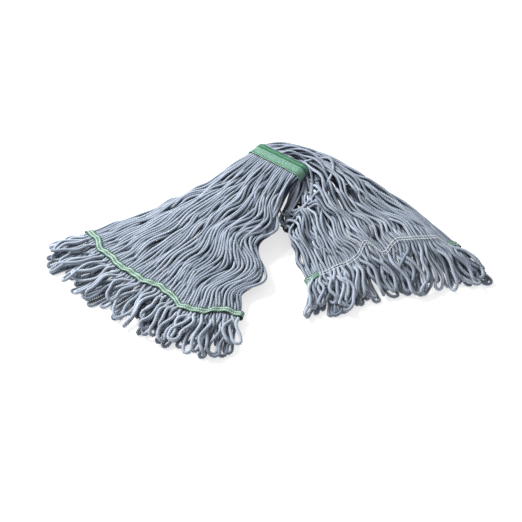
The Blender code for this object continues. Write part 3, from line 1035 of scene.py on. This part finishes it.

# %% [markdown]
# ## The headband
# The headband is a wide polyester mesh tape, wrapped round the pressed yarn and sewn
# through. Its weave is open and coarse, and both of its edges are turned under as hems. The
# right hem's darker green, the dark stripe along the middle row of sewing and the dark far
# edge are painted shade. The band is one sheet with its own thickness, bent round a
# flattened tube. Its threads are real ridges a little over a millimetre apart.


# %% A cloth with a thickness
def cloth(name, grid, outward, thickness, along, across, joined):
    """A closed sheet of cloth from a grid of points: its face, its back and its edges."""
    rows, columns = grid.shape[:2]
    back = grid - outward * thickness
    points = np.concatenate([grid.reshape(-1, 3), back.reshape(-1, 3)])
    total = rows * columns
    faces, spots = [], []

    def corner(i, j, side):
        return (i % rows) * columns + j + side * total

    last = rows if joined else rows - 1
    for i in range(last):
        for j in range(columns - 1):
            around = [(i, j), (i + 1, j), (i + 1, j + 1), (i, j + 1)]
            for side, order in ((0, around), (1, around[::-1])):
                faces.append([corner(a, b, side) for a, b in order])
                spots.append([(along[a], across[b]) for a, b in order])
        for j, order in (
            (0, ((1, 0), (0, 0), (0, 1), (1, 1))),
            (columns - 1, ((0, 0), (1, 0), (1, 1), (0, 1))),
        ):
            faces.append([corner(i + a, j, side) for a, side in order])
            spots.append([(along[i + a], across[j]) for a, _ in order])
    if not joined:
        for i, order in (
            (0, ((0, 0), (1, 0), (1, 1), (0, 1))),
            (rows - 1, ((1, 0), (0, 0), (0, 1), (1, 1))),
        ):
            for j in range(columns - 1):
                faces.append([corner(i, j + b, side) for b, side in order])
                spots.append([(along[i], across[j + b]) for b, _ in order])
    mesh = bpy.data.meshes.new(name)
    mesh.from_pydata(points.tolist(), [], faces)
    layer = mesh.uv_layers.new(name="UVMap")
    layer.data.foreach_set("uv", np.array(spots).reshape(-1))
    mesh.polygons.foreach_set("use_smooth", [True] * len(faces))
    mesh.update()
    piece = bpy.data.objects.new(name, mesh)
    bpy.context.collection.objects.link(piece)
    return piece


print("cloth pieces keep their lengths in metres as their UV map")

# %% The headband's sheet
MESH_THREAD = 0.0024  # two threads of the open mesh
CLOTH_STEP = 0.0006
HEM_FROM = (0.0042, 0.0108)  # the turned hems, from the left edge and from the right edge
HEM_STEP = 0.0006  # over which a hem rises
MESH_RIDGE = 0.00016  # how far the mesh's threads stand up
ROW_GROOVE = 0.00045  # how far a row of sewing pulls the cloth in
EDGE_WAVE = 0.0005  # how far the band's edges wander up and down


def stadium_walk(length, thickness, step):
    """Points round a flattened tube, their outward directions and the distance walked."""
    radius = thickness / 2
    flat = length - thickness
    round_part = math.pi * radius
    total = 2 * (flat + round_part)
    walked = np.linspace(0.0, total, int(total / step), endpoint=False)
    points, normals = [], []
    for w in walked:
        if w < flat:
            points.append((-flat / 2 + w, radius))
            normals.append((0.0, 1.0))
        elif w < flat + round_part:
            turn = math.pi / 2 - (w - flat) / radius
            points.append((flat / 2 + radius * math.cos(turn), radius * math.sin(turn)))
            normals.append((math.cos(turn), math.sin(turn)))
        elif w < 2 * flat + round_part:
            points.append((flat / 2 - (w - flat - round_part), -radius))
            normals.append((0.0, -1.0))
        else:
            turn = -math.pi / 2 - (w - 2 * flat - round_part) / radius
            points.append((-flat / 2 + radius * math.cos(turn), radius * math.sin(turn)))
            normals.append((math.cos(turn), math.sin(turn)))
    return np.array(points), np.array(normals), np.append(walked, total)


tube_thickness = WAIST_THICKNESS + 2 * (BAND_CLEARANCE + HEADBAND_WALL)
walk, walk_normal, walked = stadium_walk(HEADBAND_LENGTH, tube_thickness, CLOTH_STEP)
across = np.linspace(-HEADBAND_WIDTH / 2, HEADBAND_WIDTH / 2, int(HEADBAND_WIDTH / CLOTH_STEP))
left_hem = -HEADBAND_WIDTH / 2 + HEM_FROM[0]
right_hem = HEADBAND_WIDTH / 2 - HEM_FROM[1]
hem = 1 - ease(across, left_hem, left_hem + HEM_STEP)
hem = hem + ease(across, right_hem - HEM_STEP, right_hem)
lift = np.tile(hem * HEM_RISE, (len(walk), 1))
path = walked[:-1][:, None]
mesh_ridge = np.sin(2 * math.pi * path / MESH_THREAD) * np.sin(2 * math.pi * across / MESH_THREAD)
lift += MESH_RIDGE * mesh_ridge
for row in BAND_ROWS:
    groove = ROW_GROOVE * np.exp(-(((across - row) / 0.0009) ** 2))
    lift -= groove * (0.7 + 0.3 * np.cos(2 * math.pi * path / 0.004))
edge_wave = EDGE_WAVE * np.sin(2 * math.pi * path / 0.031 + 1.3 * np.sin(across * 180))
lift += edge_wave * np.abs(across / across[-1]) ** 2
outward = walk_normal[:, 0, None] * ALONG + walk_normal[:, 1, None] * BAND_UP
skin = (
    WAIST
    + walk[:, 0, None, None] * ALONG
    + walk[:, 1, None, None] * BAND_UP
    + across[None, :, None] * ACROSS
    + outward[:, None, :] * lift[..., None]
)
sleeve = cloth(
    "headband_mesh_tape",
    skin,
    outward[:, None, :] + 0 * skin,
    HEADBAND_WALL,
    walked,
    across,
    True,
)
print("the headband's tape has", len(sleeve.data.polygons), "faces")


# %% Green mesh tape
def sine_of(tree, value, wavelength, phase=0.0):
    """A wave along a distance in metres."""
    turn = add(
        tree,
        "ShaderNodeMath",
        {0: value, 1: 2 * math.pi / wavelength, 2: phase},
        operation="MULTIPLY_ADD",
    )
    return add(tree, "ShaderNodeMath", {0: turn.outputs[0]}, operation="SINE").outputs[0]


def mesh_tape_material():
    made, tree = new_material("woven polyester mesh tape, green")
    spot = add(tree, "ShaderNodeTexCoord").outputs["UV"]
    parts = add(tree, "ShaderNodeSeparateXYZ", {0: spot})
    # Colour across the band. The right hem's darker green, the dark stripe along the middle row of
    # sewing and the dark far edge are painted shade.
    painted_shade_across = add(
        tree,
        "ShaderNodeMapRange",
        {"Value": parts.outputs["Y"], "From Min": -0.014, "From Max": 0.014},
    )
    ramp = add(tree, "ShaderNodeValToRGB", {"Fac": painted_shade_across.outputs[0]})
    stops = (
        (0.0, "#93BCA3"),
        (0.05, "#1F6A45"),
        (0.09, "#6A9480"),
        (0.60, "#648C7C"),
        (0.635, "#1B5E3B"),
        (0.76, "#236B47"),
        (0.80, "#4A8469"),
        (0.93, "#41795F"),
        (0.96, "#0F452B"),
    )
    colours = ramp.color_ramp
    colours.elements[0].position, colours.elements[1].position = 0.0, 1.0
    colours.elements[0].color = linear(stops[0][1])
    colours.elements[1].color = linear("#0F452B")
    for place, colour in stops[1:]:
        colours.elements.new(place).color = linear(colour)
    one = sine_of(tree, parts.outputs["X"], MESH_THREAD)
    two = sine_of(tree, parts.outputs["Y"], MESH_THREAD)
    weave = add(tree, "ShaderNodeMath", {0: one, 1: two}, operation="MULTIPLY").outputs[0]
    speckle = add(tree, "ShaderNodeTexNoise", {"Vector": spot, "Scale": 300.0, "Detail": 3.0})
    rough = add(
        tree,
        "ShaderNodeMath",
        {0: weave, 1: 0.22, 2: speckle.outputs["Fac"]},
        operation="MULTIPLY_ADD",
    )
    shade = add(
        tree,
        "ShaderNodeMapRange",
        {
            "Value": rough.outputs[0],
            "From Min": 0.25,
            "From Max": 0.8,
            "To Min": 0.40,
            "To Max": 1.50,
        },
    )
    tinted = add(
        tree,
        "ShaderNodeVectorMath",
        {0: ramp.outputs["Color"], "Scale": shade.outputs[0]},
        operation="SCALE",
    )
    bump = add(
        tree,
        "ShaderNodeBump",
        {"Height": rough.outputs[0], "Strength": 0.6, "Distance": 0.0006},
    )
    shader = add(
        tree,
        "ShaderNodeBsdfPrincipled",
        {
            "Base Color": tinted.outputs[0],
            "Roughness": 0.6,
            "Specular IOR Level": 0.35,
            "Normal": bump.outputs[0],
        },
    )
    add(tree, "ShaderNodeOutputMaterial", {"Surface": shader.outputs[0]})
    return made


sleeve.data.materials.append(mesh_tape_material())
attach(sleeve, "headband")
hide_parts("headband_sleeve")
print("made", sleeve.data.materials[0].name)

# %% [markdown]
# ## The tail tapes
# A narrow woven tape is sewn across each fan. On the left fan it lies on top, and on the
# right fan underneath, with its ends folded round the fan's edges. Its weave is two rows of
# slanting ribs, and it ripples a little, because the yarn under it is soft and uneven. Both
# of its edges are painted darker: that is painted shade.

# %% The tail tapes' sheets
FOLD_BACK = 0.078  # how far a tape's folded ends reach back, in u
RIB = 0.0034  # between two slanting ribs of the weave
MAIN_STEPS = 420  # along the tape, from edge to edge of the fan
BEND_STEPS = 12  # round the fan's edge
BACK_STEPS = 39  # along the folded end, back over the other face
FOLD_STEPS = BEND_STEPS + BACK_STEPS


def tape_walk(face):
    """u, outward and up of a tape's path: over one face and round both of the fan's edges."""
    fold = np.radians(np.linspace(90, -90, BEND_STEPS + 1))
    main = np.linspace(0.0, 1.0, MAIN_STEPS)
    back = np.linspace(1.0, 1 - FOLD_BACK, BACK_STEPS + 1)[1:]
    still, under = np.zeros(BACK_STEPS), np.full(BACK_STEPS, -1.0)
    u = np.concatenate([(1 - back)[::-1], np.zeros(BEND_STEPS), main, np.ones(BEND_STEPS), back])
    out = np.concatenate(
        [still, -np.cos(fold[::-1])[:-1], np.zeros(MAIN_STEPS), np.cos(fold)[1:], still]
    )
    up = np.concatenate(
        [under, np.sin(fold[::-1])[:-1], np.ones(MAIN_STEPS), np.sin(fold)[1:], under]
    )
    return u, out, up * face


def tape_shift(u, word):
    """How far the tape wanders along the strands."""
    if word == "left":
        ripple = 0.0022 * np.sin(2 * math.pi * (3.0 * u + 0.05))
        ripple = ripple + 0.0016 * np.sin(2 * math.pi * (7.3 * u + 0.2))
        near_kink = 0.006 * np.exp(-(((u - 0.95) / 0.08) ** 2))
        return ripple - near_kink - 0.005 * (1 - ease(u, 0.08, 0.14))
    dip = np.exp(-(((u - 0.465) / 0.028) ** 2))
    return 0.004 - 0.012 * right_humps(u) + 0.009 * dip + 0.0010 * np.sin(2 * math.pi * (6.1 * u))


def on_tape(fan, word, u, out, up, offset, lift):
    """Points on a tape's path, this far along the strands and this far off the yarn. The offset
    follows the strands, so a tape is narrower where its path runs steeply along them."""
    u = np.asarray(u, float)
    s = fan.at_tape(u, offset + tape_shift(u, word))
    point, across, normal = fan.frame(u, s)
    level = across / np.linalg.norm(across, axis=-1, keepdims=True)
    half = pinched(fan, u, s, 1.0)
    if word == "right":
        point = point + right_lean(u, across, 1 + 0 * u, 0 * u)
    point = point + normal * (up * (half + lift))[..., None]
    point = point + level * (out * (lift + YARN_DIAMETER / 2))[..., None]
    point[..., 2] = np.maximum(point[..., 2], 0.0004)
    return point, normal * up[..., None] + level * out[..., None]


def tape_lift(along, offset):
    """How far the tape's outer face stands off the yarn: its ribs and its ripples."""
    rib = 0.00030 * np.abs(np.sin(math.pi * (along + np.abs(offset) * 1.3) / RIB))
    ripple = 0.0010 * np.sin(2 * math.pi * along / 0.023 + offset * 90)
    ripple = ripple * (1 + np.abs(offset) / TAPE_WIDTH)
    groove = 0.0003 * math.exp(-((offset / 0.0007) ** 2))
    return TAPE_CLEARANCE + TAPE_THICKNESS + rib + 0.0007 + ripple - groove


def tail_tape(word, fan, face):
    u, out, up = tape_walk(face)
    across = np.linspace(-TAPE_WIDTH / 2, TAPE_WIDTH / 2, 15)
    centre, _ = on_tape(fan, word, u, out, up, 0.0, TAPE_CLEARANCE)
    along = np.append(0.0, np.cumsum(np.linalg.norm(np.diff(centre, axis=0), axis=1)))
    columns = []
    outward = []
    for offset in across:
        points, away = on_tape(fan, word, u, out, up, offset, tape_lift(along, offset))
        columns.append(points)
        outward.append(away)
    grid, away = np.stack(columns, axis=1), np.stack(outward, axis=1)
    if face < 0:
        grid, away, across = grid[:, ::-1], away[:, ::-1], across[::-1]
    away /= np.linalg.norm(away, axis=-1, keepdims=True)
    return cloth(f"{word}_tail_tape_cloth", grid, away, TAPE_THICKNESS, along, across, False), along


left_tape, left_along = tail_tape("left", LEFT, 1)
right_tape, right_along = tail_tape("right", RIGHT, -1)
print("the tapes are", left_along[-1].round(3), "and", right_along[-1].round(3), "m long")


# %% Woven tail tape
def tail_tape_material():
    made, tree = new_material("woven cotton tail tape, pale green")
    spot = add(tree, "ShaderNodeTexCoord").outputs["UV"]
    parts = add(tree, "ShaderNodeSeparateXYZ", {0: spot})
    aside = add(tree, "ShaderNodeMath", {0: parts.outputs["Y"]}, operation="ABSOLUTE")
    slant = add(
        tree,
        "ShaderNodeMath",
        {0: aside.outputs[0], 1: 1.3, 2: parts.outputs["X"]},
        operation="MULTIPLY_ADD",
    )
    ribs = sine_of(tree, slant.outputs[0], RIB)
    speckle = add(tree, "ShaderNodeTexNoise", {"Vector": spot, "Scale": 500.0, "Detail": 2.0})
    mix = add(
        tree,
        "ShaderNodeMath",
        {0: ribs, 1: 0.30, 2: speckle.outputs["Fac"]},
        operation="MULTIPLY_ADD",
    )
    ramp = add(tree, "ShaderNodeValToRGB", {"Fac": mix.outputs[0]})
    two_stops(ramp, 0.30, "#345646", 0.70, "#82A191")
    # Painted shade: the tape darkens to #1D3F2D along both of its edges.
    edge = add(
        tree,
        "ShaderNodeMapRange",
        {"Value": aside.outputs[0], "From Min": 0.0046, "From Max": 0.0060},
    )
    painted_edge_shade = add(
        tree,
        "ShaderNodeMixRGB",
        {"Fac": edge.outputs[0], "Color1": ramp.outputs["Color"], "Color2": linear("#1D3F2D")},
    )
    bump = add(
        tree,
        "ShaderNodeBump",
        {"Height": mix.outputs[0], "Strength": 0.5, "Distance": 0.0005},
    )
    shader = add(
        tree,
        "ShaderNodeBsdfPrincipled",
        {
            "Base Color": painted_edge_shade.outputs[0],
            "Roughness": 0.8,
            "Specular IOR Level": 0.2,
            "Normal": bump.outputs[0],
        },
    )
    add(tree, "ShaderNodeOutputMaterial", {"Surface": shader.outputs[0]})
    return made


TAIL_TAPE = tail_tape_material()
for word, tape, along in (("left", left_tape, left_along), ("right", right_tape, right_along)):
    tape.data.materials.append(TAIL_TAPE)
    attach(tape, f"{word}_fan")
    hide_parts(f"{word}_tail_tape")
print("made", TAIL_TAPE.name)

# %% [markdown]
# ## The stitches
# Every row of sewing is a line of separate stitches, each a short bead of thread that dips
# into the cloth at both ends. A Geometry Nodes tree cuts a row's path into even steps and
# lays one stitch on each.


# %% The stitch tree
def stitch_tree():
    tree, given = new_tree(
        "row of stitches",
        (("Stitch length", "Float"), ("Thread width", "Float"), ("Material", "Material")),
    )
    steps = add(
        tree,
        "GeometryNodeResampleCurve",
        {"Curve": given["Geometry"], "Length": given["Stitch length"]},
        mode="LENGTH",
    )
    tangent = add(tree, "GeometryNodeInputTangent")
    turn = add(tree, "FunctionNodeAlignRotationToVector", {"Vector": tangent.outputs[0]}, axis="X")
    bead = add(tree, "GeometryNodeMeshUVSphere", {"Segments": 8, "Rings": 6, "Radius": 0.5})
    length = add(tree, "ShaderNodeMath", {0: given["Stitch length"], 1: 1.02}, operation="MULTIPLY")
    size = add(
        tree,
        "ShaderNodeCombineXYZ",
        {"X": length.outputs[0], "Y": given["Thread width"], "Z": given["Thread width"]},
    )
    row = add(
        tree,
        "GeometryNodeInstanceOnPoints",
        {
            "Points": steps.outputs[0],
            "Instance": bead.outputs[0],
            "Rotation": turn.outputs[0],
            "Scale": size.outputs[0],
        },
    )
    real = add(tree, "GeometryNodeRealizeInstances", {"Geometry": row.outputs[0]})
    soft = add(
        tree,
        "GeometryNodeSetShadeSmooth",
        {"Geometry": real.outputs[0], "Shade Smooth": True},
    )
    dyed = add(
        tree,
        "GeometryNodeSetMaterial",
        {"Geometry": soft.outputs[0], "Material": given["Material"]},
    )
    add(tree, "NodeGroupOutput", {"Geometry": dyed.outputs[0]})
    return tree


def thread_material(name, light, dark):
    made, tree = new_material(name)
    spot = add(tree, "ShaderNodeTexCoord").outputs["Object"]
    fuzz = add(tree, "ShaderNodeTexNoise", {"Vector": spot, "Scale": 1500.0, "Detail": 2.0})
    ramp = add(tree, "ShaderNodeValToRGB", {"Fac": fuzz.outputs["Fac"]})
    two_stops(ramp, 0.35, dark, 0.65, light)
    bump = add(
        tree,
        "ShaderNodeBump",
        {"Height": fuzz.outputs["Fac"], "Strength": 0.3, "Distance": 0.0002},
    )
    shader = add(
        tree,
        "ShaderNodeBsdfPrincipled",
        {"Base Color": ramp.outputs["Color"], "Roughness": 0.55, "Normal": bump.outputs[0]},
    )
    add(tree, "ShaderNodeOutputMaterial", {"Surface": shader.outputs[0]})
    return made


STITCH_TREE = stitch_tree()
WHITE_THREAD = thread_material("spun polyester thread, white", "#F7FAFA", "#DCE3E6")
GREEN_THREAD = thread_material("spun polyester thread, green", "#246B47", "#124429")
print("the stitch tree has", len(STITCH_TREE.nodes), "nodes")

# %% Rows on the headband
THREAD = 0.0010
STITCH_LENGTH = 0.0040


def sew(name, lines, thread, width, body):
    """Stitches along lines, in place of the part's row of the same name."""
    row = grown(
        f"{name}_thread",
        spline_curve("row", lines),
        STITCH_TREE,
        {"Stitch length": STITCH_LENGTH, "Thread width": width, "Material": thread},
    )
    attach(row, body)
    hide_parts(name)
    return row


row_reach = HEADBAND_LENGTH / 2 - WAIST_THICKNESS / 2
spots = np.linspace(-row_reach, row_reach, 40)
for k, place in enumerate(BAND_ROWS, start=1):
    for face, word in ((1, "over"), (-1, "under")):
        height = face * (tube_thickness / 2 + HEM_RISE)
        line = WAIST + spots[:, None] * ALONG + place * ACROSS + height * BAND_UP
        sew(f"headband_stitch_{word}_{k}", [line], GREEN_THREAD, THREAD, "headband")
print("six rows on the headband")

# %% Rows on the tail tapes
BARE_LIFT = 0.0016  # the thread's height over the bare yarn
FOLD_EASE = 0.008  # in u, over which a row steps down from a folded end to the yarn
row_u = np.linspace(0.0, 1.0, 300)
level = np.zeros(len(row_u))
for word, fan, face, along in (("left", LEFT, 1, left_along), ("right", RIGHT, -1, right_along)):
    row_along = np.interp(
        row_u,
        np.linspace(0.0, 1.0, MAIN_STEPS),
        along[FOLD_STEPS : FOLD_STEPS + MAIN_STEPS],
    )
    for k, offset in enumerate((-TAPE_ROW_SPACING / 2, TAPE_ROW_SPACING / 2), start=1):
        over_cloth = tape_lift(row_along, offset) - 0.0003
        lines = [on_tape(fan, word, row_u, level, level + face, offset, over_cloth)[0]]
        if word == "right":
            from_edge = np.minimum(row_u, 1 - row_u)
            past_fold = ease(from_edge, FOLD_BACK - FOLD_EASE, FOLD_BACK + FOLD_EASE)
            bare = BARE_LIFT + (over_cloth - BARE_LIFT) * (1 - past_fold)
            lines.append(on_tape(fan, word, row_u, level, level + 1, offset, bare)[0])
        sew(
            f"{word}_tape_stitch_{k}",
            lines,
            WHITE_THREAD,
            1.25 * THREAD,
            f"{word}_fan",
        )
print("two rows on each tail tape")
